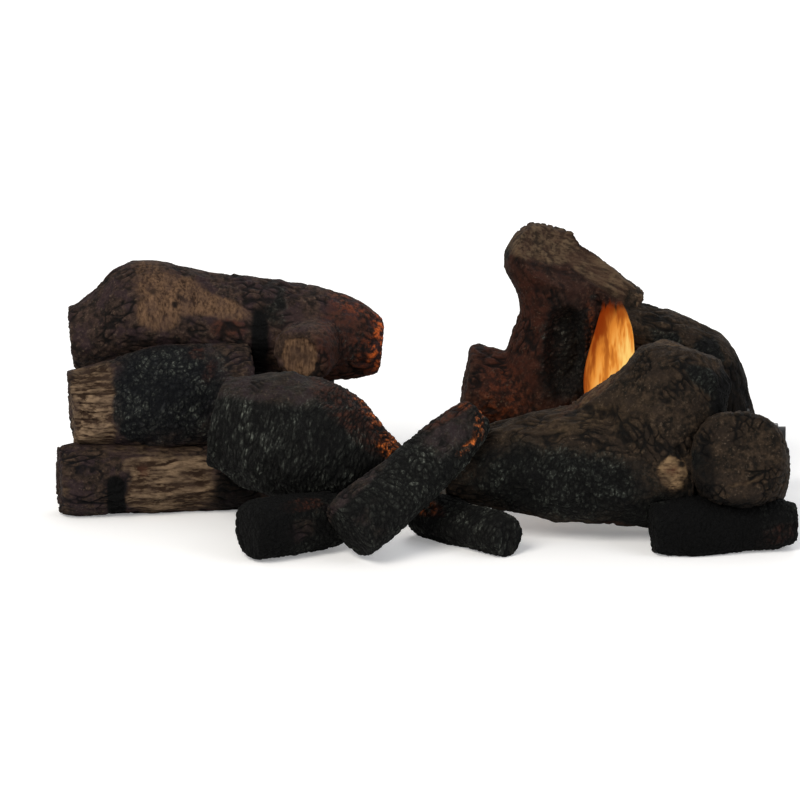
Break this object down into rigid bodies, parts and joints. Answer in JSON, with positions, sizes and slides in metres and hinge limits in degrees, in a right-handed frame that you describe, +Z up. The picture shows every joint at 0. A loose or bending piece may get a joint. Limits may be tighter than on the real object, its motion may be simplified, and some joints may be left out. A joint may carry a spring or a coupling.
{
  "type": "gas log set",
  "caption": "Vented gas log set: charred cast ceramic logs piled round a tray burner on a steel base plate, with control valve, knob, igniter and pilot at the right.",
  "frame": {"origin": "on the hearth, under the middle of the set", "axes": "+Z up, +X to the viewer's right, +Y away from the viewer"},
  "size_m": [0.7028, 0.3798, 0.2509],
  "materials": {
    "fired_clay_brown": "cast refractory clay, painted brown bark, matt",
    "fired_clay_char": "cast refractory clay, painted as cracked black char, matt",
    "zinc_plated_steel": "zinc plated sheet, dull",
    "black_painted_steel": "heat proof black paint, matt",
    "aluminised_steel": "aluminised steel, heat dulled",
    "die_cast_aluminium": "as cast, satin",
    "brass": "turned brass",
    "stainless_steel": "stainless steel, heat tinted",
    "copper_lead": "copper capillary lead",
    "white_ceramic": "glazed alumina",
    "black_plastic": "moulded phenolic plastic",
    "red_plastic": "moulded plastic",
    "silicone_wire": "silicone insulation",
    "silica_sand": "loose silica sand",
    "glowing_ember": "glowing mineral wool embers and flame"
  },
  "bodies": {
    "root": {"base_left_log": "fired_clay_brown", "base_plate": "zinc_plated_steel", "base_right_log": "fired_clay_char", "burner_tray": "aluminised_steel", "charred_log": "fired_clay_char", "chunk_log": "fired_clay_char", "electrode": "stainless_steel", "electrode_insulator": "white_ceramic", "ember_chunks": "glowing_ember", "end_right_log": "fired_clay_brown", "front_left_log": "fired_clay_char", "front_right_log": "fired_clay_brown", "gas_inlet": "brass", "gas_orifice": "brass", "igniter_body": "black_plastic", "igniter_nut": "zinc_plated_steel", "ignition_wire": "silicone_wire", "log_pins": "aluminised_steel", "log_rack": "black_painted_steel", "manifold": "aluminised_steel", "mid_left_log": "fired_clay_brown", "mixing_tube": "aluminised_steel", "panel_screws": "zinc_plated_steel", "pilot_bracket": "zinc_plated_steel", "pilot_burner": "brass", "pilot_hood": "stainless_steel", "pilot_nuts": "zinc_plated_steel", "pilot_tube": "die_cast_aluminium", "rear_right_log": "fired_clay_brown", "sand_bed": "silica_sand", "thermocouple": "stainless_steel", "thermocouple_lead": "copper_lead", "tube_caps": "aluminised_steel", "tube_front": "aluminised_steel", "tube_rear": "aluminised_steel", "valve_body": "die_cast_aluminium", "valve_panel": "black_painted_steel"},
    "crossing_log": {"crossing_log": "fired_clay_char"},
    "top_left_log": {"top_left_log": "fired_clay_brown"},
    "rear_trunk_log": {"rear_trunk_log": "fired_clay_brown"},
    "valve_plunger": {"valve_plunger": "die_cast_aluminium"},
    "control_knob": {"valve_spindle": "zinc_plated_steel", "control_knob": "black_plastic"},
    "igniter_button": {"igniter_button": "red_plastic"},
    "air_shutter": {"air_shutter": "aluminised_steel"}
  },
  "joints": [
    {"name": "crossing_log_lift", "type": "slide", "parent": "root", "child": "crossing_log", "axis": [0, -0.5, 0.866], "range_m": [0, 0.15]},
    {"name": "top_left_log_lift", "type": "slide", "parent": "root", "child": "top_left_log", "axis": [0, 0, 1], "range_m": [0, 0.15]},
    {"name": "rear_trunk_log_lift", "type": "slide", "parent": "root", "child": "rear_trunk_log", "axis": [0, 0, 1], "range_m": [0, 0.15]},
    {"name": "knob_push", "type": "slide", "parent": "root", "child": "valve_plunger", "axis": [-1, 0, 0], "range_m": [0, 0.004], "stiffness_N_per_m": 500, "springref_m": -0.002},
    {"name": "knob_turn", "type": "hinge", "parent": "valve_plunger", "child": "control_knob", "pos_m": [0.32098, 0.05549, 0.059], "axis": [1, 0, 0], "range_deg": [0, 180]},
    {"name": "igniter_push", "type": "slide", "parent": "root", "child": "igniter_button", "axis": [-1, 0, 0], "range_m": [0, 0.005], "stiffness_N_per_m": 400, "springref_m": -0.002},
    {"name": "air_shutter_turn", "type": "hinge", "parent": "root", "child": "air_shutter", "pos_m": [0.24358, 0.05549, 0.0165], "axis": [-1, 0, 0], "range_deg": [0, 60]}
  ]
}
